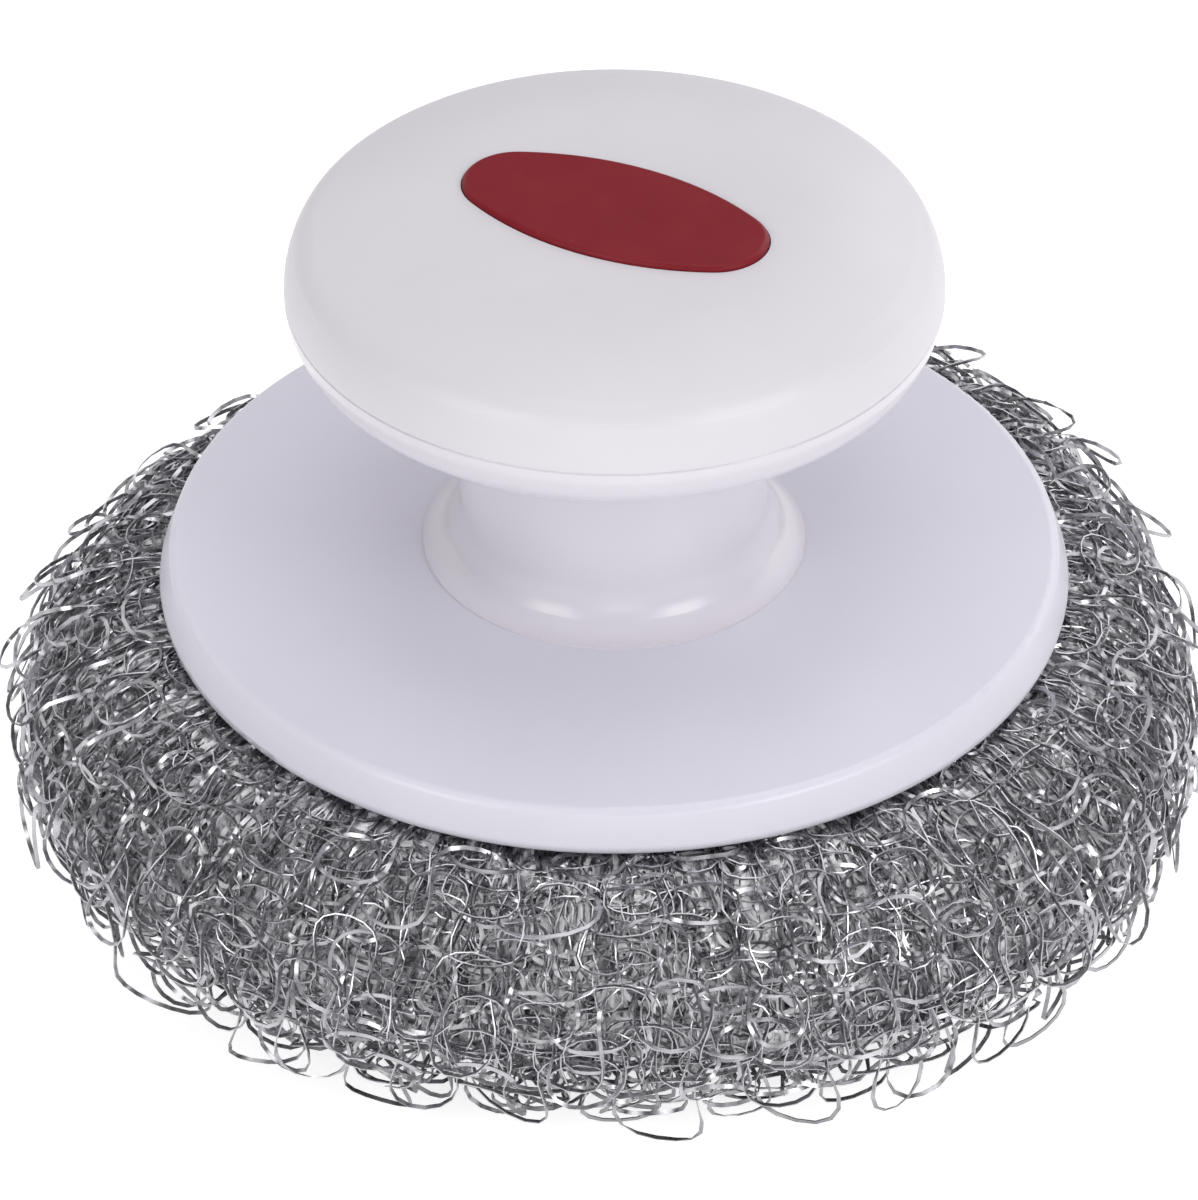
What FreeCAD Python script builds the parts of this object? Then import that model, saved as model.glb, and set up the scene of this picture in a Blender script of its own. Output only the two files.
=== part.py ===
import FreeCAD, Part
import math
import os

# Palm pot scrubber: a hollow white knob on a round guard, over a springy ring of knitted flat wire.
# Millimetres, +Z up, origin at the centre of the face that the wire pad rests on.

# Fits
flat_seat_gap = 0.1
slip_fit = 0.1
soft_gap = 0.3
thread_fit = 0.05
cut_overrun = 1.0

# Wire pad. Its outline is uneven: waves with one crest, two crests and so on round the ring
pad_radius = 52.5
pad_unevenness = 4.0
pad_wave_shares = (0.41, 0.4, 0.44, 0.15)
pad_wave_crests_deg = (310, 35, 64, 63)
pad_section_count = 36
pad_thickness = 27.0
pad_equator_height = 14.0
pad_top_radius = 40.5
pad_rest_outer_radius = 38.0
pad_rest_inner_radius = 30.0
pad_rest_cut = 0.5
pad_dimple_gap = 2.2
sleeve_thickness = 4.5

# Guard flange. Its rim has a tight top edge and leans out to the toe
guard_radius = 40.0
guard_rim_height = 4.0
guard_edge_radius = 0.9
guard_lean_deg = 20
guard_rim_wall = 2.6
guard_toe_radius = 0.8
guard_plate = 2.2
guard_rib_count = 12
guard_rib_thickness = 1.4
hub_radius = 8.5
hub_wall = 2.3
hub_collar = 2.4

# Pad retainer
retainer_radius = 15.0
retainer_top_height = 13.0
retainer_edge = 1.6
retainer_depth = 4.6
retainer_crown_radius = 6.5
retainer_spigot_length = 7.0

# Knob base with neck and foot
finger_gap = 19.8
foot_radius = 16.8
foot_edge = 0.2
foot_fillet_rise = 3.9
neck_radius = 13.4
neck_top_fillet = 3.9
bowl_floor_radius = 17.3
bowl_depth = 6.8
spigot_radius = 10.0
spigot_depth = 1.8
key_width = 4.0
key_depth = 1.4
neck_floor = 2.4
boss_radius = 4.4
boss_height = 15.0
boss_rib_count = 4
boss_rib_thickness = 1.6

# Knob cap. Its top is flat under the inlay, falls along a crown and turns down at a tighter shoulder
knob_radius = 28.2
cap_height = 7.15
knob_crown_width = 10.6
knob_crown_drop = 1.75
knob_shoulder_width = 2.7
knob_wall = 2.4
seam_chamfer = 0.12
lip_height = 2.2
lip_thickness = 1.2

# Red inlay
inlay_half_length = 14.1
inlay_half_width = 6.9
inlay_turn_deg = -27.7
inlay_pocket_depth = 1.2
inlay_proud = 0.5
inlay_edge_radius = 0.5
inlay_peg_radius = 1.2
inlay_peg_length = 2.4
inlay_peg_spacing = 16.0

# Centre screw
screw_radius = 1.75
screw_length = 31.0
screw_head_radius = 3.5
screw_head_height = 2.4
screw_hole_gap = 0.25
screw_recess_depth = 2.6
cross_arm_count = 4
cross_width = 1.0
cross_length = 3.8
cross_depth = 1.3

# Levels that follow from the sizes above
guard_foot_z = pad_thickness + flat_seat_gap
guard_top_z = guard_foot_z + guard_rim_height
bowl_floor_z = guard_top_z + finger_gap
seam_z = bowl_floor_z + bowl_depth
knob_top_z = seam_z + cap_height
pad_seat_z = retainer_top_height + flat_seat_gap
retainer_foot_z = retainer_top_height - retainer_depth
screw_seat_z = retainer_foot_z + screw_recess_depth
pad_eye_radius = hub_radius + soft_gap
pad_dimple_radius = retainer_radius + pad_dimple_gap
lip_outer_radius = knob_radius - knob_wall + lip_thickness
knob_edge_radius = knob_radius - knob_shoulder_width
knob_flat_radius = knob_edge_radius - knob_crown_width


def at(radius, height):
    """Point of a turned profile."""
    return FreeCAD.Vector(radius, 0, height)


def line(start, end):
    return Part.LineSegment(at(*start), at(*end)).toShape()


def oval_quarter(reach, rise, slope=0):
    """Quarter of an oval as two tangent arcs, each as three points from (reach, 0) to (0, rise).

    The arcs start upright and end at the slope.
    """
    turn = math.atan2(reach, rise)
    last = math.pi / 2 - slope
    across = math.cos(turn)
    along = math.sin(turn)
    last_across = math.cos(last)
    last_along = math.sin(last)
    excess = along - last_along + math.sin(last - turn)
    side_radius = (rise * (across - last_across) - reach * (last_along - along)) / excess
    crown_radius = (reach * along - rise * (1 - across)) / excess
    arcs = []
    for radius, centre, start, end in (
            (side_radius, (reach - side_radius, 0), 0, turn),
            (crown_radius, (-crown_radius * last_across, rise - crown_radius * last_along), turn, last)):
        arcs.append([(centre[0] + radius * math.cos(angle), centre[1] + radius * math.sin(angle))
                     for angle in (start, (start + end) / 2, end)])
    return arcs


def corner(centre, reach, rise, slope=0):
    """Rounded corner of a profile about its centre. A negative reach or rise points inwards or down."""
    edges = []
    for arc in oval_quarter(abs(reach), abs(rise), slope):
        points = [at(centre[0] + math.copysign(x, reach), centre[1] + math.copysign(y, rise))
                  for x, y in arc]
        edges.append(Part.Arc(*points).toShape())
    return edges


def arc_edge(centre, radius, start_deg, end_deg):
    """Arc of a profile, from one direction to another as seen from its centre."""
    turns = [math.radians(deg) for deg in (start_deg, (start_deg + end_deg) / 2, end_deg)]
    points = [at(centre[0] + radius * math.cos(turn), centre[1] + radius * math.sin(turn)) for turn in turns]
    return Part.Arc(*points).toShape()


def path(points):
    """Straight edges through the points in turn."""
    return [line(start, end) for start, end in zip(points, points[1:])]


def turned(edges):
    """Solid turned about the Z axis from a closed profile."""
    wire = Part.Wire(Part.__sortEdges__(edges))
    return Part.Face(wire).revolve(at(0, 0), FreeCAD.Vector(0, 0, 1), 360)


def post(radius, low, high):
    return Part.makeCylinder(radius, high - low, at(0, low))


def bar(length, width, low, high, turn_deg=0, start=0):
    """Upright bar that runs outwards from the axis, from start to start + length."""
    box = Part.makeBox(length, width, high - low, FreeCAD.Vector(start, -width / 2, low))
    box.rotate(at(0, 0), FreeCAD.Vector(0, 0, 1), turn_deg)
    return box


def spokes(count, length, width, low, high, start):
    return [bar(length, width, low, high, 360 * i / count, start) for i in range(count)]


def pad_reach(turn_deg):
    """Outer radius of the wire pad at a turn from +X."""
    waves = [share * math.cos(math.radians(count * (turn_deg - crest_deg)))
             for count, (share, crest_deg) in enumerate(zip(pad_wave_shares, pad_wave_crests_deg), 1)]
    return pad_radius + pad_unevenness * sum(waves)


def pad_section(inset, eye_radius, reach):
    """Half section of the wire pad, drawn in by inset all round: crowned sides, dimple and eye."""
    top = pad_thickness - inset
    seat = pad_seat_z + inset
    low = inset - pad_rest_cut
    inner_reach = pad_rest_inner_radius - pad_dimple_radius - inset
    edges = path([(pad_rest_inner_radius - inner_reach, seat), (eye_radius, seat), (eye_radius, top),
                  (pad_top_radius, top)])
    edges += corner((pad_top_radius, pad_equator_height), reach - pad_top_radius - inset,
                    top - pad_equator_height)
    edges += corner((pad_rest_outer_radius, pad_equator_height), reach - pad_rest_outer_radius - inset,
                    low - pad_equator_height)
    edges.append(line((pad_rest_outer_radius, low), (pad_rest_inner_radius, low)))
    edges += corner((pad_rest_inner_radius, seat), -inner_reach, low - seat)
    return Part.Wire(Part.__sortEdges__(edges))


def pad_ring(inset, eye_radius):
    """Uneven ring cushion of the wire pad, a ruled loft through its half sections."""
    sections = []
    for index in range(pad_section_count):
        turn_deg = 360 * index / pad_section_count
        section = pad_section(inset, eye_radius, pad_reach(turn_deg))
        section.rotate(at(0, 0), FreeCAD.Vector(0, 0, 1), turn_deg)
        sections.append(section)
    return Part.makeLoft(sections, True, True, True)


def scourer_sleeve():
    """Outer knitted sleeve, folded in at the eye and flat where the pad rests."""
    cavity = pad_ring(sleeve_thickness, pad_eye_radius - cut_overrun)
    below = post(pad_radius, -pad_rest_cut - cut_overrun, 0)
    return pad_ring(0, pad_eye_radius).cut([cavity, below])


def scourer_core():
    """Packed inner turns of finer wire."""
    return pad_ring(sleeve_thickness + soft_gap, pad_eye_radius)


def guard_flange():
    """Round guard with a turned-down rim, ribs below it and a hub through the pad's eye."""
    out = math.cos(math.radians(guard_lean_deg))
    up = math.sin(math.radians(guard_lean_deg))
    toe_radius = guard_radius - guard_toe_radius
    toe_z = guard_foot_z + guard_toe_radius
    edge_z = guard_top_z - guard_edge_radius
    edge_radius = toe_radius - ((edge_z - toe_z) * up + guard_edge_radius - guard_toe_radius) / out
    plate_z = guard_top_z - guard_plate
    rim_inside = guard_radius - guard_rim_wall
    edges = path([(toe_radius, guard_foot_z), (rim_inside, guard_foot_z), (rim_inside, plate_z),
                  (0, plate_z), (0, guard_top_z), (edge_radius, guard_top_z)])
    edges.append(arc_edge((edge_radius, edge_z), guard_edge_radius, 90, guard_lean_deg))
    edges.append(line((edge_radius + guard_edge_radius * out, edge_z + guard_edge_radius * up),
                      (toe_radius + guard_toe_radius * out, toe_z + guard_toe_radius * up)))
    edges.append(arc_edge((toe_radius, toe_z), guard_toe_radius, guard_lean_deg, -90))
    body = turned(edges)
    hub = post(hub_radius, retainer_top_height, plate_z + guard_plate / 2)
    collar = post(spigot_radius + key_depth + hub_collar, guard_foot_z, plate_z + guard_plate / 2)
    rib_reach = rim_inside + guard_rim_wall / 2 - hub_radius
    ribs = spokes(guard_rib_count, rib_reach, guard_rib_thickness, guard_foot_z,
                  plate_z + guard_plate / 2, hub_radius - hub_wall / 2)
    body = body.fuse([hub, collar] + ribs)
    recess_z = guard_top_z - spigot_depth - flat_seat_gap
    recess = post(spigot_radius + slip_fit, recess_z, guard_top_z + cut_overrun)
    notches = [bar(spigot_radius + key_depth + slip_fit, key_width + 2 * slip_fit, recess_z,
                   guard_top_z + cut_overrun, turn_deg) for turn_deg in (0, 180)]
    bore = post(hub_radius - hub_wall, retainer_top_height - cut_overrun, guard_foot_z)
    hole = post(screw_radius + screw_hole_gap, retainer_top_height, guard_top_z)
    return body.cut([recess, bore, hole] + notches).removeSplitter()


def pad_retainer():
    """Domed button that clamps the pad's eye to the hub, with a spigot and a screw recess."""
    rim_z = retainer_top_height - retainer_edge
    edges = path([(retainer_radius, rim_z), (retainer_radius, retainer_top_height),
                  (0, retainer_top_height), (0, retainer_foot_z),
                  (retainer_crown_radius, retainer_foot_z)])
    edges += corner((retainer_crown_radius, rim_z), retainer_radius - retainer_crown_radius,
                    retainer_foot_z - rim_z)
    body = turned(edges)
    spigot = post(hub_radius - hub_wall - slip_fit, retainer_foot_z + retainer_depth / 2,
                  retainer_top_height + retainer_spigot_length)
    hole = post(screw_radius + screw_hole_gap, retainer_foot_z,
                retainer_top_height + retainer_spigot_length + cut_overrun)
    recess = post(screw_head_radius + screw_hole_gap, retainer_foot_z - cut_overrun, screw_seat_z)
    return body.fuse(spigot).cut([hole, recess]).removeSplitter()


def base_outside():
    """Outer form of the knob base: spigot, foot, neck, bowl and the lip that enters the cap."""
    spigot_z = guard_top_z - spigot_depth
    fillet_z = guard_top_z + foot_edge + foot_fillet_rise
    rim_z = seam_z - seam_chamfer
    lip_z = seam_z + lip_height
    edges = path([(lip_outer_radius, lip_z), (0, lip_z), (0, spigot_z), (spigot_radius, spigot_z),
                  (spigot_radius, guard_top_z), (foot_radius, guard_top_z),
                  (foot_radius, guard_top_z + foot_edge)])
    edges += corner((foot_radius, fillet_z), neck_radius - foot_radius, -foot_fillet_rise)
    edges.append(line((neck_radius, fillet_z), (neck_radius, bowl_floor_z - neck_top_fillet)))
    edges += corner((bowl_floor_radius, bowl_floor_z - neck_top_fillet),
                    neck_radius - bowl_floor_radius, neck_top_fillet)
    edges += corner((bowl_floor_radius, rim_z), knob_radius - bowl_floor_radius, bowl_floor_z - rim_z)
    edges += path([(knob_radius, rim_z), (knob_radius - seam_chamfer, seam_z),
                   (lip_outer_radius, seam_z), (lip_outer_radius, lip_z)])
    return turned(edges)


def base_inside():
    """Hollow of the knob base, one wall inside its outer form."""
    floor_z = guard_top_z + neck_floor
    bore_radius = neck_radius - knob_wall
    bowl_inside_z = bowl_floor_z + knob_wall
    rim_radius = lip_outer_radius - lip_thickness
    bend = neck_top_fillet - knob_wall
    bend_radius = bore_radius + bend
    edges = path([(rim_radius, seam_z), (rim_radius, seam_z + lip_height + cut_overrun),
                  (0, seam_z + lip_height + cut_overrun), (0, floor_z), (bore_radius, floor_z),
                  (bore_radius, bowl_inside_z - bend)])
    edges += corner((bend_radius, bowl_inside_z - bend), -bend, bend)
    edges.append(line((bend_radius, bowl_inside_z), (bowl_floor_radius, bowl_inside_z)))
    edges += corner((bowl_floor_radius, seam_z), rim_radius - bowl_floor_radius, bowl_inside_z - seam_z)
    return turned(edges)


def knob_base():
    """Lower half of the knob with its neck and foot: hollow, with a ribbed screw boss."""
    floor_z = guard_top_z + neck_floor
    boss = post(boss_radius, floor_z - neck_floor / 2, floor_z + boss_height)
    rib_reach = neck_radius - knob_wall / 2 - boss_radius / 2
    ribs = spokes(boss_rib_count, rib_reach, boss_rib_thickness, floor_z - neck_floor / 2,
                  floor_z + boss_height - boss_radius, boss_radius / 2)
    keys = [bar(spigot_radius + key_depth, key_width, guard_top_z - spigot_depth,
                guard_top_z + neck_floor / 2, turn_deg) for turn_deg in (0, 180)]
    pilot = post(screw_radius + thread_fit, guard_top_z - spigot_depth - cut_overrun,
                 screw_seat_z + screw_length + cut_overrun)
    shell = base_outside().cut(base_inside())
    return shell.fuse([boss] + ribs + keys).cut(pilot).removeSplitter()


def inlay_oval(half_length, half_width, low, high):
    """Upright oval block, turned on the knob as the inlay is."""
    edges = []
    for x_side, y_side in ((1, 1), (-1, 1), (-1, -1), (1, -1)):
        for arc in oval_quarter(half_length, half_width):
            points = [FreeCAD.Vector(x_side * x, y_side * y, low) for x, y in arc]
            edges.append(Part.Arc(*points).toShape())
    wire = Part.Wire(Part.__sortEdges__(edges))
    block = Part.Face(wire).extrude(FreeCAD.Vector(0, 0, high - low))
    block.rotate(at(0, 0), FreeCAD.Vector(0, 0, 1), inlay_turn_deg)
    return block


def inlay_pegs(radius, low, high):
    """Pair of pegs along the oval's length."""
    pegs = []
    for end in (-1, 1):
        peg = Part.makeCylinder(radius, high - low, at(end * inlay_peg_spacing / 2, low))
        peg.rotate(at(0, 0), FreeCAD.Vector(0, 0, 1), inlay_turn_deg)
        pegs.append(peg)
    return pegs


def knob_cap():
    """Upper shell of the knob, with the lap over the base's lip and the pocket for the inlay."""
    rim_z = seam_z + seam_chamfer
    lap_radius = lip_outer_radius + slip_fit
    lap_z = seam_z + lip_height + slip_fit
    inside_reach = knob_radius - knob_wall - knob_flat_radius
    inside_rise = knob_top_z - knob_wall - lap_z
    edges = path([(knob_flat_radius, knob_top_z), (0, knob_top_z), (0, knob_top_z - knob_wall),
                  (knob_flat_radius, knob_top_z - knob_wall)])
    edges += corner((knob_flat_radius, lap_z), inside_reach, inside_rise)
    edges += path([(knob_flat_radius + inside_reach, lap_z), (lap_radius, lap_z), (lap_radius, seam_z),
                   (knob_radius - seam_chamfer, seam_z), (knob_radius, rim_z)])
    slope = 2 * math.atan2(knob_crown_drop, knob_crown_width)
    crown_radius = knob_crown_width / math.sin(slope)
    edges.append(arc_edge((knob_flat_radius, knob_top_z - crown_radius), crown_radius, 90,
                          90 - math.degrees(slope)))
    edges += corner((knob_edge_radius, rim_z), knob_shoulder_width, knob_top_z - knob_crown_drop - rim_z,
                    slope)
    pocket = inlay_oval(inlay_half_length + slip_fit, inlay_half_width + slip_fit,
                        knob_top_z - inlay_pocket_depth, knob_top_z + cut_overrun)
    holes = inlay_pegs(inlay_peg_radius + slip_fit, knob_top_z - knob_wall - cut_overrun, knob_top_z)
    return turned(edges).cut([pocket] + holes)


def grip_inlay():
    """Red oval insert with a rounded top edge and two pegs."""
    floor_z = knob_top_z - inlay_pocket_depth
    top_z = knob_top_z + inlay_proud
    block = inlay_oval(inlay_half_length, inlay_half_width, floor_z, top_z)
    rim = [edge for edge in block.Edges if edge.BoundBox.ZMin > top_z - inlay_edge_radius]
    block = block.makeFillet(inlay_edge_radius, rim)
    pegs = inlay_pegs(inlay_peg_radius, floor_z - inlay_peg_length, floor_z + inlay_pocket_depth)
    return block.fuse(pegs).removeSplitter()


def centre_screw():
    """Self-tapping screw with a pan head and a cross recess, head down."""
    foot_z = screw_seat_z - screw_head_height
    edges = path([(screw_head_radius, screw_seat_z), (0, screw_seat_z), (0, foot_z)])
    edges += corner((0, screw_seat_z), screw_head_radius, -screw_head_height)
    point_z = screw_seat_z + screw_length - screw_radius
    shank = post(screw_radius, screw_seat_z - screw_head_height / 2, point_z)
    tip = Part.makeCone(screw_radius, screw_radius / 2, screw_radius, at(0, point_z))
    cross = spokes(cross_arm_count, cross_length / 2, cross_width, foot_z - cut_overrun,
                   foot_z + cross_depth, 0)
    return turned(edges).fuse([shank, tip]).cut(cross).removeSplitter()


pieces = {
    "grip_inlay": grip_inlay,
    "knob_cap": knob_cap,
    "knob_base": knob_base,
    "guard_flange": guard_flange,
    "pad_retainer": pad_retainer,
    "centre_screw": centre_screw,
    "scourer_sleeve": scourer_sleeve,
    "scourer_core": scourer_core,
}

os.makedirs("parts", exist_ok=True)
for name, make in pieces.items():
    shape = make()
    shape.exportStep("parts/" + name + ".step")
    box = shape.BoundBox
    print(name, len(shape.Solids), shape.isValid(), round(shape.Volume, 1),
          [round(value, 2) for value in (box.XMin, box.YMin, box.ZMin, box.XMax, box.YMax, box.ZMax)])
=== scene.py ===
import math

import bpy
import numpy as np
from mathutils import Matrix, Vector


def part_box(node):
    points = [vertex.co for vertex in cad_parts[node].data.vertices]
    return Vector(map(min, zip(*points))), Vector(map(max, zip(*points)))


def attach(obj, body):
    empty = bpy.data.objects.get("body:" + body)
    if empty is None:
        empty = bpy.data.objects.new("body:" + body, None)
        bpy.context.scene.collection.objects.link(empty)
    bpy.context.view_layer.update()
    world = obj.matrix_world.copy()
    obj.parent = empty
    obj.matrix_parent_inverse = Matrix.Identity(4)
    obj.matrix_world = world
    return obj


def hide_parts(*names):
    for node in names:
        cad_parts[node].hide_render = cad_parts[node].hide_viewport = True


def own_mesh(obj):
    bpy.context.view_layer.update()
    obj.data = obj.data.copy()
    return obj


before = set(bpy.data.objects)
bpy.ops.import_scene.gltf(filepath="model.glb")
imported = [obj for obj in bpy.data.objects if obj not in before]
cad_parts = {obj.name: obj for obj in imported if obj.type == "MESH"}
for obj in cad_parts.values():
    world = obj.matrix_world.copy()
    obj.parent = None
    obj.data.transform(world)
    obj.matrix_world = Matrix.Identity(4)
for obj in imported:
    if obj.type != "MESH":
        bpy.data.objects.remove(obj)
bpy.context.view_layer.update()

# Palm pot scrubber: the CAD handle with finished plastics, over a ring pad knitted from flat wire.
# Metres, +Z up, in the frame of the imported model.

mm = 0.001
full_turn = 2 * math.pi

# Photograph: viewing angle and framing
photo_height = 1200
focal_pixels = 6211.7
view_down_deg = 36.8
camera_distance = 550 * mm
camera_aim = (-1.33 * mm, 0, 23.9 * mm)
camera_near = 10 * mm
sensor_side = 36.0

# Pad's half section: the CAD sleeve's height, and the places where its sides start to round
pad_radius = 52.5 * mm
pad_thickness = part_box("scourer_sleeve")[1][2]
pad_top_inner = 35.0 * mm
pad_top_outer = 40.5 * mm
pad_equator = 14.0 * mm
pad_rest_outer = 38.0 * mm
pad_rest_inner = 30.0 * mm
pad_seat = 13.1 * mm
pad_dimple_radius = 17.2 * mm
pad_clearance = 0.25 * mm
rim_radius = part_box("guard_flange")[1][0]
arc_samples = 40
section_samples = 400

# Uneven outline of the pad: waves with one crest, two crests and so on round the ring
pad_unevenness = 4.0 * mm
pad_wave_shares = (0.41, 0.4, 0.44, 0.15)
pad_wave_crests_deg = (310, 35, 64, 63)

# Open fringe at the heel: how deep the mass is drawn in, where it is most, and how steeply bows may fall
fringe_depth = 6.0 * mm
fringe_middle_share = 0.6
bow_droop = -0.6

# Knit: stitches of flat wire in courses round the pad
stitch_width = 7.6 * mm
loose_stitch_width = 10.5 * mm
stitch_width_shares = (0.85, 1.15)
least_stitches = 10
loop_height = 8.0 * mm
loop_neck_share = 0.14
course_pitch = 2.5 * mm
stitch_samples = 20

# Share of a layer's depth and stand at the pad's inner edge, at the guard's rim and clear of it
packed_shares = (0.1, 0.25, 1)
clear_of_rim_runs = 3

# Spreads of what differs from stitch to stitch: first shares, then lengths, then angles in radians
tall_spread_share = 0.22
lean_spread_share = 0.1
shift_spread_share = 0.3
proud_middle_share = 0.75
proud_spread_share = 0.45
proud_limit_shares = (0.2, 1.2)
wander_spread = 0.3 * mm
course_spread = 0.4 * mm
bow_spread = 0.5
twist_spread = 0.4
kink_spread = 0.85

# Flat wire of the outer loops, and the bare strips of the inner ones, which lie flatter
flat_width = 0.36 * mm
flat_thickness = 0.11 * mm
inner_flat_width = 0.42 * mm
inner_lay = 1.2

# Bake map: share of each strip that stays free at its edges
map_margin_share = 0.1

# Outer layers: depth inside the outline, stand of the lower bows, share of the fringe that they reach into
outer_layers = {
    "outer_loops_a": (2.2 * mm, 3.2 * mm, 1.0),
    "outer_loops_b": (0.6 * mm, -2.0 * mm, 0.8),
    "outer_loops_c": (3.0 * mm, 1.6 * mm, 0.6),
    "outer_loops_d": (2.3 * mm, -0.9 * mm, 0.15),
    "outer_loops_e": (3.4 * mm, 0.7 * mm, 0.0),
}

# Inner layers: depth inside the outline
inner_stand = 0.6 * mm
inner_depths = {
    "inner_loops_a": 3.5 * mm,
    "inner_loops_b": 3.7 * mm,
    "inner_loops_c": 3.9 * mm,
    "inner_loops_d": 4.1 * mm,
    "inner_loops_e": 4.3 * mm,
    "inner_loops_f": 4.6 * mm,
    "inner_loops_g": 4.9 * mm,
    "inner_loops_h": 5.2 * mm,
    "inner_loops_i": 5.5 * mm,
}

# Lumpy core behind the layers
core_depth = 6.2 * mm
core_lumps = 0.4 * mm
core_around = 240
core_down = 90
core_seed = 50

# Finishes: the two colours and the two roughnesses between which noise goes, and the size of its lumps
noise_detail = 4.0
noise_stops = (0.3, 0.7)
grain_height = 0.02 * mm
# The cap and base are one white plastic; the base is coloured a little paler, painted light that lifts the
# neck in the knob's shade
cap_white = ((0.66, 0.636, 0.68, 1), (0.68, 0.656, 0.7, 1))
cap_roughness = (0.38, 0.46)
base_white = ((0.68, 0.652, 0.705, 1), (0.7, 0.672, 0.725, 1))
base_roughness = (0.2, 0.26)
guard_white = ((0.67, 0.658, 0.735, 1), (0.69, 0.678, 0.755, 1))
guard_roughness = (0.3, 0.38)
white_mottle = 14 * mm
white_gloss_patch = 3 * mm
white_grain = 0.5 * mm
white_grain_strength = 0.05
inlay_red = ((0.19, 0.008, 0.015, 1), (0.215, 0.011, 0.019, 1))
inlay_roughness = (0.4, 0.5)
inlay_specular = 0.2
inlay_mottle = 5 * mm
inlay_gloss_patch = 1.5 * mm
inlay_grain = 0.3 * mm
inlay_grain_strength = 0.08
wire_grey = ((0.37, 0.365, 0.385, 1), (0.54, 0.535, 0.56, 1))
wire_roughness = (0.2, 0.38)
wire_mottle = 1.2 * mm
wire_gloss_patch = 0.6 * mm
# Painted shade: the wire's colour is multiplied down towards the floor, from the first share at the lower
# height to none at the upper
wire_painted_shade = (0.3, 1.0)
wire_painted_shade_heights = (2 * mm, 10 * mm)
# Painted light: the packed turns are coloured much paler than the wire to stand in for light scattered
# between them
packed_grey = ((0.88, 0.88, 0.895, 1), (0.97, 0.97, 0.98, 1))
packed_roughness = (0.4, 0.6)
packed_mottle = 0.8 * mm
packed_gloss_patch = 0.5 * mm
steel_grey = ((0.5, 0.5, 0.5, 1), (0.62, 0.62, 0.61, 1))
steel_roughness = (0.25, 0.38)
steel_mottle = 0.8 * mm
steel_gloss_patch = 0.4 * mm

# Floor: plain white, with a glow that fades with the distance from the pad
floor_half = 3.0
floor_white = ((0.80, 0.80, 0.80, 1), (0.82, 0.82, 0.82, 1))
floor_roughness = 0.9
floor_mottle = 0.4
floor_glow = (0.7, 0.4)
floor_glow_reach = (pad_radius, 2.4 * pad_radius)

# Studio: a dim even room, and softboxes given by place, aim, width, height and power in watts
room_grey = (0.24, 0.24, 0.245, 1)
on_object = (0, 0, 0.03)
straight_down = (0, 0.1, 0)
softboxes = {
    "overhead": ((0, 0.1, 1.1), straight_down, 0.8, 0.8, 3.6),
    "right_softbox": ((0.62, -0.58, 0.56), on_object, 0.45, 0.5, 3.7),
    "left_softbox": ((-0.58, -0.62, 0.54), on_object, 0.45, 0.5, 2.75),
    "back_right": ((0.6, 0.75, 0.5), on_object, 0.9, 0.7, 3.6),
    "back_left": ((-0.6, 0.75, 0.5), on_object, 0.9, 0.7, 1.7),
    "low_right": ((0.85, 0.3, 0.15), on_object, 0.4, 0.25, 0.3),
    "low_front": ((0.1, -1.0, 0.3), on_object, 0.5, 0.3, 1.0),
}


def half_section():
    """Points down the pad's half section: under the rim, round the outside, rest face and dimple."""
    quarter = np.linspace(0, math.pi / 2, arc_samples)
    top = pad_thickness - pad_clearance
    shoulder = (pad_top_outer + (pad_radius - pad_top_outer) * np.sin(quarter),
                pad_equator + (top - pad_equator) * np.cos(quarter))
    heel = (pad_rest_outer + (pad_radius - pad_rest_outer) * np.cos(quarter),
            pad_equator - (pad_equator - pad_clearance) * np.sin(quarter))
    toe = (pad_rest_inner - (pad_rest_inner - pad_dimple_radius) * np.sin(quarter),
           pad_seat - (pad_seat - pad_clearance) * np.cos(quarter))
    radius = np.concatenate([[pad_top_inner], shoulder[0], heel[0][1:], toe[0]])
    height = np.concatenate([[top], shoulder[1], heel[1][1:], toe[1]])
    return radius, height


def section_table():
    """Arc length, radius, height and outward normal along the half section."""
    radius, height = half_section()
    run = np.concatenate([[0], np.cumsum(np.hypot(np.diff(radius), np.diff(height)))])
    even = np.linspace(0, run[-1], section_samples)
    radius = np.interp(even, run, radius)
    height = np.interp(even, run, height)
    out = -np.gradient(height, even)
    up = np.gradient(radius, even)
    size = np.hypot(out, up)
    return even, radius, height, out / size, up / size


section = section_table()
end_run = section[0][-1]
rim_run = rim_radius - pad_top_inner
side_run = section[0][np.argmax(section[1])]
heel_run = section[0][np.argmin(section[2])]


def bulge(run, azimuth):
    """How far the pad's side stands out of its round section: not under the rim or at the rest face."""
    wave = 0
    for count, (share, crest_deg) in enumerate(zip(pad_wave_shares, pad_wave_crests_deg), 1):
        wave = wave + share * np.cos(count * (azimuth - math.radians(crest_deg)))
    radius = np.interp(run, section[0], section[1])
    start = np.where(run < side_run, pad_top_outer, pad_rest_outer)
    return pad_unevenness * wave * np.clip((radius - start) / (pad_radius - start), 0, 1)


def on_pad(run, azimuth, depth):
    """Points and outward normals at a run down the half section, an azimuth and a depth below it."""
    even, radius, height, out, up = section
    r = np.interp(run, even, radius) + bulge(run, azimuth) - depth * np.interp(run, even, out)
    z = np.interp(run, even, height) - depth * np.interp(run, even, up)
    out = np.interp(run, even, out)
    up = np.interp(run, even, up)
    points = np.stack([r * np.cos(azimuth), r * np.sin(azimuth), z], axis=-1)
    normals = np.stack([out * np.cos(azimuth), out * np.sin(azimuth), up], axis=-1)
    return points, normals


def ring_noise(rng, count, samples, spread):
    """Smooth random values round a ring, with one draw for each of count places."""
    draws = rng.normal(0, spread, count)
    where = np.arange(count * samples) / samples
    share = where % 1
    share = share * share * (3 - 2 * share)
    low = where.astype(int) % count
    return draws[low] * (1 - share) + draws[(low + 1) % count] * share


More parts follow.
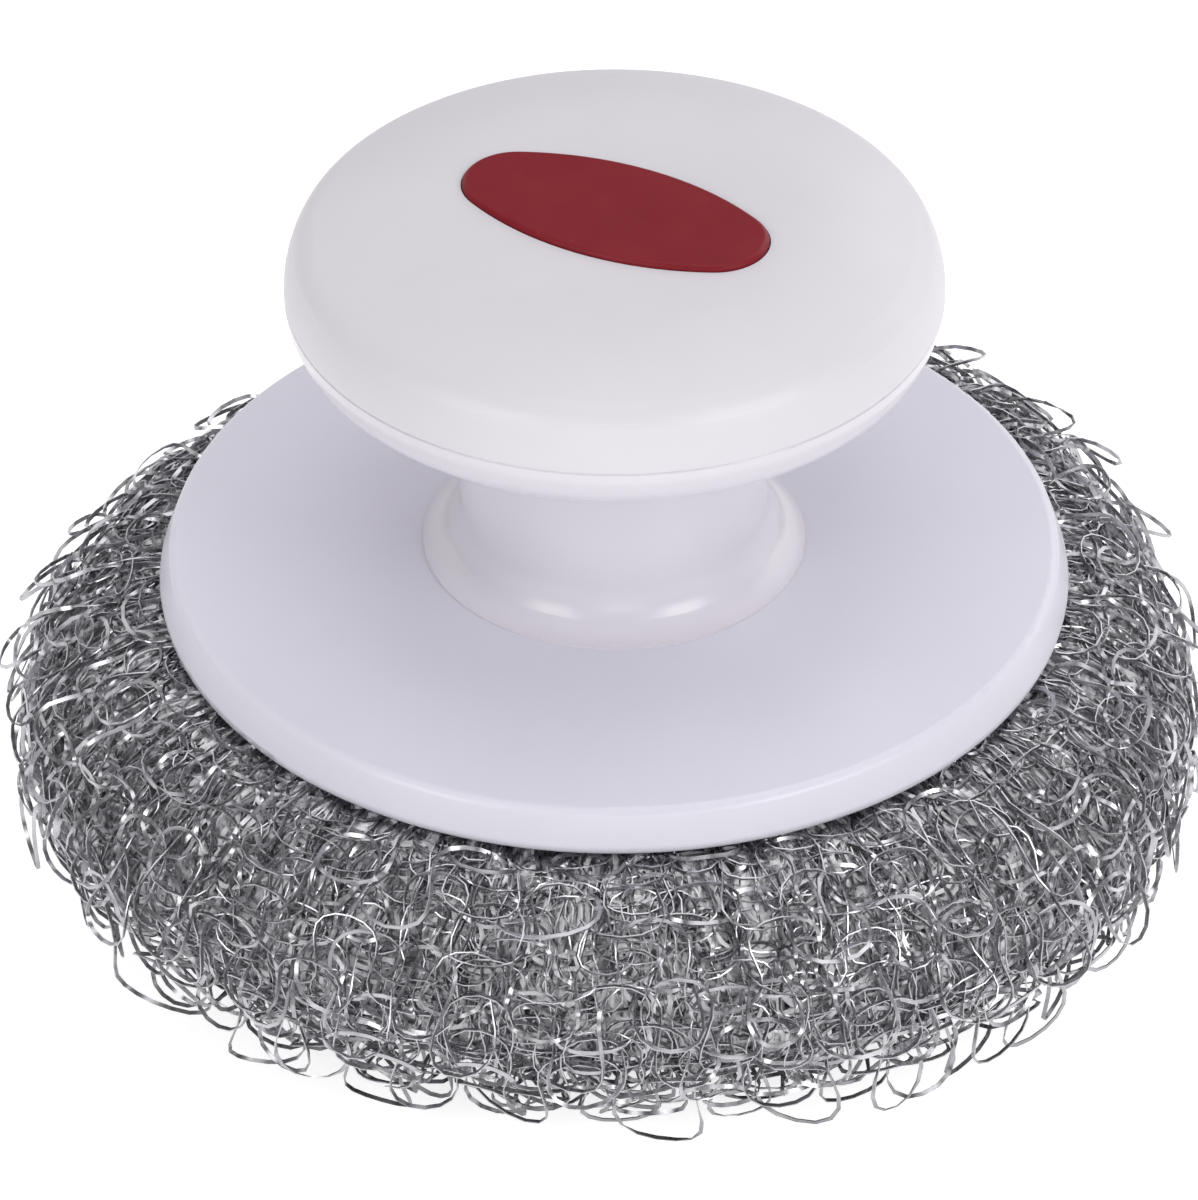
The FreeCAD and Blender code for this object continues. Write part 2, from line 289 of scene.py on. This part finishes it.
def fringe(run):
    """Share of the fringe's depth down the half section: all of it part of the way round the heel."""
    middle = side_run + fringe_middle_share * (heel_run - side_run)
    return np.interp(run, (side_run, middle, heel_run + rim_run), (0, 1, 0))


def keep_clear(points):
    """Holds points above the floor and below the guard."""
    reach = np.hypot(points[:, 0], points[:, 1])
    ceiling = pad_thickness - pad_clearance + np.maximum(reach - rim_radius - pad_clearance, 0)
    points[:, 2] = np.clip(points[:, 2], pad_clearance, ceiling)


def course(rng, run, layer, count):
    """Centre line of one knitted course. Lower bows stand out, or sink in where the stand is negative."""
    depth, stand, loose = layer
    phase = np.arange(count * stitch_samples) / stitch_samples
    turn = full_turn * phase
    tall = 1 + ring_noise(rng, count, stitch_samples, tall_spread_share)
    lean = ring_noise(rng, count, stitch_samples, lean_spread_share)
    shift = ring_noise(rng, count, stitch_samples, shift_spread_share)
    proud = proud_middle_share + ring_noise(rng, count, stitch_samples, proud_spread_share)
    proud = np.clip(proud, *proud_limit_shares)
    wander = ring_noise(rng, count, stitch_samples, wander_spread)
    across = phase + loop_neck_share * np.sin(2 * turn) + lean + rng.uniform(0, 1)
    along = run - loop_height / 2 * tall * np.cos(turn) + shift * course_pitch
    along = np.clip(along, 0, end_run)
    packed = np.interp(along, (0, rim_run, clear_of_rim_runs * rim_run), packed_shares)
    bow = turn + ring_noise(rng, count, stitch_samples, bow_spread)
    low = (1 - np.cos(bow)) / 2
    tip = low if stand > 0 else 1 - low
    drawn_in = fringe_depth * fringe(along)
    points, normals = on_pad(along, full_turn * across / count, packed * (depth + wander) + drawn_in)
    level = np.stack([normals[:, 0], normals[:, 1], np.maximum(normals[:, 2], bow_droop)], axis=-1)
    points += level * (packed * stand * proud * low + loose * drawn_in * tip)[:, None]
    keep_clear(points)
    return points, normals


def ribbon(points, normals, twist, width, thickness):
    """Corners of a flat wire round a closed line. Without a twist its width is near the normal."""
    ahead = np.roll(points, -1, axis=0) - np.roll(points, 1, axis=0)
    ahead /= np.linalg.norm(ahead, axis=1, keepdims=True)
    side = np.cross(ahead, normals)
    side /= np.linalg.norm(side, axis=1, keepdims=True)
    up = np.cross(side, ahead)
    wide = up * np.cos(twist)[:, None] + side * np.sin(twist)[:, None]
    thin = side * np.cos(twist)[:, None] - up * np.sin(twist)[:, None]
    wide = wide * width / 2
    thin = thin * thickness / 2
    if thickness == 0:
        return np.stack([points - wide, points + wide], axis=1)
    return np.stack([points - wide - thin, points + wide - thin, points + wide + thin,
                     points - wide + thin], axis=1)


def strip_faces(start, count, sides, strip):
    """Faces of one side of a closed ribbon whose vertices begin at start."""
    here = np.arange(count)
    after = (here + 1) % count
    left = strip
    right = (strip + 1) % sides
    return start + np.stack([here * sides + left, after * sides + left,
                             after * sides + right, here * sides + right], axis=1)


def strip_map(count, low, high):
    """Bake map of one side of a ribbon: a band between low and high, all along the map."""
    near = np.arange(count) / count
    far = (np.arange(count) + 1) / count
    low = np.full(count, low)
    high = np.full(count, high)
    corners = ((near, low), (far, low), (far, high), (near, high))
    return np.stack([np.stack(corner, axis=1) for corner in corners], axis=1)


def quad_mesh(name, vertices, faces, maps):
    """Smooth mesh of four-sided faces with its bake map."""
    mesh = bpy.data.meshes.new(name)
    mesh.vertices.add(len(vertices))
    mesh.vertices.foreach_set("co", vertices.astype(np.float32).ravel())
    mesh.loops.add(faces.size)
    mesh.loops.foreach_set("vertex_index", faces.astype(np.int32).ravel())
    mesh.polygons.add(len(faces))
    mesh.polygons.foreach_set("loop_start", np.arange(0, faces.size, 4, dtype=np.int32))
    mesh.update(calc_edges=True)
    mesh.polygons.foreach_set("use_smooth", np.ones(len(faces), dtype=bool))
    layer = mesh.uv_layers.new(name="OFBake")
    layer.data.foreach_set("uv", maps.astype(np.float32).ravel())
    return mesh


def sharpen_edges(mesh, sides):
    """Keeps the long edges of the flat wires crisp."""
    ends = np.empty(len(mesh.edges) * 2, dtype=np.int32)
    mesh.edges.foreach_get("vertices", ends)
    ends = ends.reshape(-1, 2) % sides
    flags = mesh.attributes.new("sharp_edge", "BOOLEAN", "EDGE")
    flags.data.foreach_set("value", ends[:, 0] == ends[:, 1])


def knit_mesh(name, rings):
    """Mesh of closed ribbons. Every side of a ribbon has its own strip of the bake map."""
    faces = []
    maps = []
    start = 0
    sides = rings[0].shape[1]
    strips = sides if sides > 2 else 1
    for index, corners in enumerate(rings):
        count = len(corners)
        for strip in range(strips):
            low = (index + (strip + map_margin_share) / strips) / len(rings)
            high = (index + (strip + 1 - map_margin_share) / strips) / len(rings)
            faces.append(strip_faces(start, count, sides, strip))
            maps.append(strip_map(count, low, high))
        start += count * sides
    vertices = np.concatenate([corners.reshape(-1, 3) for corners in rings])
    mesh = quad_mesh(name, vertices, np.concatenate(faces), np.concatenate(maps))
    if strips > 1:
        sharpen_edges(mesh, sides)
    return mesh


def knit_layer(name, seed, layer, width, thickness, lay):
    """One knitted layer. A looser one has wider stitches, which reach further into the fringe."""
    rng = np.random.default_rng(seed)
    loose = layer[-1]
    stitch = stitch_width + loose * (loose_stitch_width - stitch_width)
    rings = []
    for run in np.arange(course_pitch, end_run - course_pitch, course_pitch):
        radius = np.interp(run, section[0], section[1])
        count = round(full_turn * radius / (stitch * rng.uniform(*stitch_width_shares)))
        count = max(least_stitches, count)
        points, normals = course(rng, run + rng.normal(0, course_spread), layer, count)
        twist = ring_noise(rng, count, stitch_samples, twist_spread)
        kink = ring_noise(rng, 2 * count, stitch_samples // 2, kink_spread) ** 3
        rings.append(ribbon(points, normals, twist + kink + lay, width, thickness))
    return knit_mesh(name, rings)


def core_mesh(name):
    """Closed lumpy ring of packed wire behind the knitted layers."""
    rng = np.random.default_rng(core_seed)
    run = np.linspace(0, end_run, core_down)
    azimuth = np.linspace(0, full_turn, core_around, endpoint=False)
    grid_run, grid_azimuth = np.meshgrid(run, azimuth, indexing="ij")
    depth = core_depth + fringe_depth * fringe(grid_run) + rng.normal(0, core_lumps, grid_run.shape)
    points = on_pad(grid_run, grid_azimuth, depth)[0]
    faces = []
    for i in range(core_down):
        row = i * core_around
        below = (i + 1) % core_down * core_around
        for j in range(core_around):
            beside = (j + 1) % core_around
            faces.append((row + j, below + j, below + beside, row + beside))
    mesh = bpy.data.meshes.new(name)
    mesh.from_pydata(points.reshape(-1, 3).tolist(), [], faces)
    mesh.polygons.foreach_set("use_smooth", np.ones(len(faces), dtype=bool))
    return mesh


def add_piece(name, mesh, material):
    """Object in the scene with one material."""
    piece = bpy.data.objects.new(name, mesh)
    bpy.context.scene.collection.objects.link(piece)
    mesh.materials.append(material)
    return piece


def new_material(name):
    """Material with its principled shader and object coordinates."""
    material = bpy.data.materials.new(name)
    material.use_nodes = True
    nodes = material.node_tree.nodes
    shader = nodes["Principled BSDF"]
    place = nodes.new("ShaderNodeTexCoord").outputs["Object"]
    return material, shader, place


def noise(material, place, size):
    """Noise whose lumps are about as large as size."""
    node = material.node_tree.nodes.new("ShaderNodeTexNoise")
    node.inputs["Scale"].default_value = 1 / size
    node.inputs["Detail"].default_value = noise_detail
    material.node_tree.links.new(place, node.inputs["Vector"])
    return node.outputs["Fac"]


def ramp(material, value, socket, shades, stops):
    """Drives a socket from the first shade to the second as a value goes from stop to stop."""
    node = material.node_tree.nodes.new("ShaderNodeValToRGB")
    for element, position, shade in zip(node.color_ramp.elements, stops, shades):
        element.position = position
        element.color = shade if isinstance(shade, tuple) else (shade, shade, shade, 1)
    material.node_tree.links.new(value, node.inputs["Fac"])
    material.node_tree.links.new(node.outputs["Color"], socket)


def mottle(material, place, size, socket, shades):
    """Varies a socket between two shades in lumps of a size."""
    ramp(material, noise(material, place, size), socket, shades, noise_stops)


def grain(material, shader, place, size, strength):
    """Fine skin of a moulding."""
    node = material.node_tree.nodes.new("ShaderNodeBump")
    node.inputs["Strength"].default_value = strength
    node.inputs["Distance"].default_value = grain_height
    material.node_tree.links.new(noise(material, place, size), node.inputs["Height"])
    material.node_tree.links.new(node.outputs["Normal"], shader.inputs["Normal"])


def white_plastic(name, colours, roughness):
    """Moulded white plastic with a faint mottle and an even skin."""
    material, shader, place = new_material(name)
    mottle(material, place, white_mottle, shader.inputs["Base Color"], colours)
    mottle(material, place, white_gloss_patch, shader.inputs["Roughness"], roughness)
    grain(material, shader, place, white_grain, white_grain_strength)
    return material


def red_plastic():
    """Satin red plastic of the inlay."""
    material, shader, place = new_material("red_plastic")
    mottle(material, place, inlay_mottle, shader.inputs["Base Color"], inlay_red)
    mottle(material, place, inlay_gloss_patch, shader.inputs["Roughness"], inlay_roughness)
    shader.inputs["Specular IOR Level"].default_value = inlay_specular
    grain(material, shader, place, inlay_grain, inlay_grain_strength)
    return material


def galvanised_wire():
    """Bright zinc-coated steel, uneven along the wire, with painted shade that darkens its colour towards
    the foot of the fringe.
    """
    material, shader, place = new_material("galvanised_wire")
    nodes = material.node_tree.nodes
    links = material.node_tree.links
    mottle_and_painted_shade = nodes.new("ShaderNodeMixRGB")
    mottle_and_painted_shade.blend_type = "MULTIPLY"
    mottle_and_painted_shade.inputs["Fac"].default_value = 1
    mottle(material, place, wire_mottle, mottle_and_painted_shade.inputs["Color1"], wire_grey)
    # Painted shade: the mottled colour is multiplied by a ramp on the height above the floor
    split = nodes.new("ShaderNodeSeparateXYZ")
    links.new(place, split.inputs["Vector"])
    ramp(material, split.outputs["Z"], mottle_and_painted_shade.inputs["Color2"], wire_painted_shade, wire_painted_shade_heights)
    links.new(mottle_and_painted_shade.outputs["Color"], shader.inputs["Base Color"])
    mottle(material, place, wire_gloss_patch, shader.inputs["Roughness"], wire_roughness)
    shader.inputs["Metallic"].default_value = 1
    return material


def packed_wire():
    """Inner turns, duller and paler than the outer loops; their paleness is painted light, standing in for
    the light they scatter between each other.
    """
    material, shader, place = new_material("packed_wire")
    mottle(material, place, packed_mottle, shader.inputs["Base Color"], packed_grey)
    mottle(material, place, packed_gloss_patch, shader.inputs["Roughness"], packed_roughness)
    return material


def screw_steel():
    """Plated steel of the screw."""
    material, shader, place = new_material("screw_steel")
    mottle(material, place, steel_mottle, shader.inputs["Base Color"], steel_grey)
    mottle(material, place, steel_gloss_patch, shader.inputs["Roughness"], steel_roughness)
    shader.inputs["Metallic"].default_value = 1
    return material


def dress_handle():
    """Finishes of the CAD nodes that stay in view."""
    finishes = {
        "grip_inlay": red_plastic(),
        "centre_screw": screw_steel(),
        "knob_cap": white_plastic("white_satin", cap_white, cap_roughness),
        "knob_base": white_plastic("white_gloss", base_white, base_roughness),
        "guard_flange": white_plastic("white_guard", guard_white, guard_roughness),
    }
    finishes["pad_retainer"] = finishes["guard_flange"]
    for name, material in finishes.items():
        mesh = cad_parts[name].data
        mesh.materials.clear()
        mesh.materials.append(material)


def add_layers(packed):
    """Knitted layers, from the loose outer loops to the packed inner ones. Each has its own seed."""
    wire = galvanised_wire()
    pieces = []
    for name, layer in outer_layers.items():
        mesh = knit_layer(name, len(pieces) + 1, layer, flat_width, flat_thickness, 0)
        pieces.append(add_piece(name, mesh, wire))
    for name, depth in inner_depths.items():
        layer = (depth, inner_stand, 0)
        mesh = knit_layer(name, len(pieces) + 1, layer, inner_flat_width, 0, inner_lay)
        pieces.append(add_piece(name, mesh, packed))
    return pieces


def make_pad():
    """Wire pad in place of the two soft CAD solids. All of it squashes with the joint."""
    packed = packed_wire()
    pieces = add_layers(packed)
    core = add_piece("core_turns", core_mesh("core_turns"), packed)
    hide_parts("scourer_sleeve")
    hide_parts("scourer_core")
    for piece in pieces + [core]:
        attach(piece, "pad")
        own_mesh(piece)


def floor_material():
    """Matt white that glows, most of all under the pad."""
    material, shader, place = new_material("studio_floor")
    mottle(material, place, floor_mottle, shader.inputs["Base Color"], floor_white)
    shader.inputs["Roughness"].default_value = floor_roughness
    shader.inputs["Emission Color"].default_value = (1, 1, 1, 1)
    distance = material.node_tree.nodes.new("ShaderNodeVectorMath")
    distance.operation = "LENGTH"
    material.node_tree.links.new(place, distance.inputs[0])
    ramp(material, distance.outputs["Value"], shader.inputs["Emission Strength"], floor_glow,
         floor_glow_reach)
    return material


def make_floor():
    """Plain square floor under the pad."""
    mesh = bpy.data.meshes.new("floor")
    corners = [(-floor_half, -floor_half, 0), (floor_half, -floor_half, 0),
               (floor_half, floor_half, 0), (-floor_half, floor_half, 0)]
    mesh.from_pydata(corners, [], [(0, 1, 2, 3)])
    add_piece("floor", mesh, floor_material())


def add_light(name, place, aim, width, height, power):
    """Softbox at a place, turned towards its aim."""
    lamp = bpy.data.lights.new(name, "AREA")
    lamp.shape = "RECTANGLE"
    lamp.size = width
    lamp.size_y = height
    lamp.energy = power
    light = bpy.data.objects.new(name, lamp)
    light.location = place
    light.rotation_euler = (Vector(aim) - Vector(place)).to_track_quat("-Z", "Y").to_euler()
    bpy.context.scene.collection.objects.link(light)


def light_studio():
    """Room and softboxes: overhead, at both front corners, behind, and two low ones."""
    world = bpy.data.worlds.new("studio")
    world.use_nodes = True
    world.node_tree.nodes["Background"].inputs["Color"].default_value = room_grey
    bpy.context.scene.world = world
    for name, softbox in softboxes.items():
        add_light(name, *softbox)
    bpy.context.scene.view_settings.view_transform = "Standard"


def add_camera():
    """Camera at the photograph's angle, with the photograph's framing."""
    down = math.radians(view_down_deg)
    forward = Vector((0, math.cos(down), -math.sin(down)))
    lens = bpy.data.cameras.new("camera")
    lens.sensor_width = sensor_side
    lens.lens = focal_pixels / photo_height * sensor_side
    lens.clip_start = camera_near
    camera = bpy.data.objects.new("camera", lens)
    camera.location = Vector(camera_aim) - forward * camera_distance
    camera.rotation_euler = forward.to_track_quat("-Z", "Y").to_euler()
    bpy.context.scene.collection.objects.link(camera)
    bpy.context.scene.camera = camera


dress_handle()
make_pad()
make_floor()
light_studio()
add_camera()
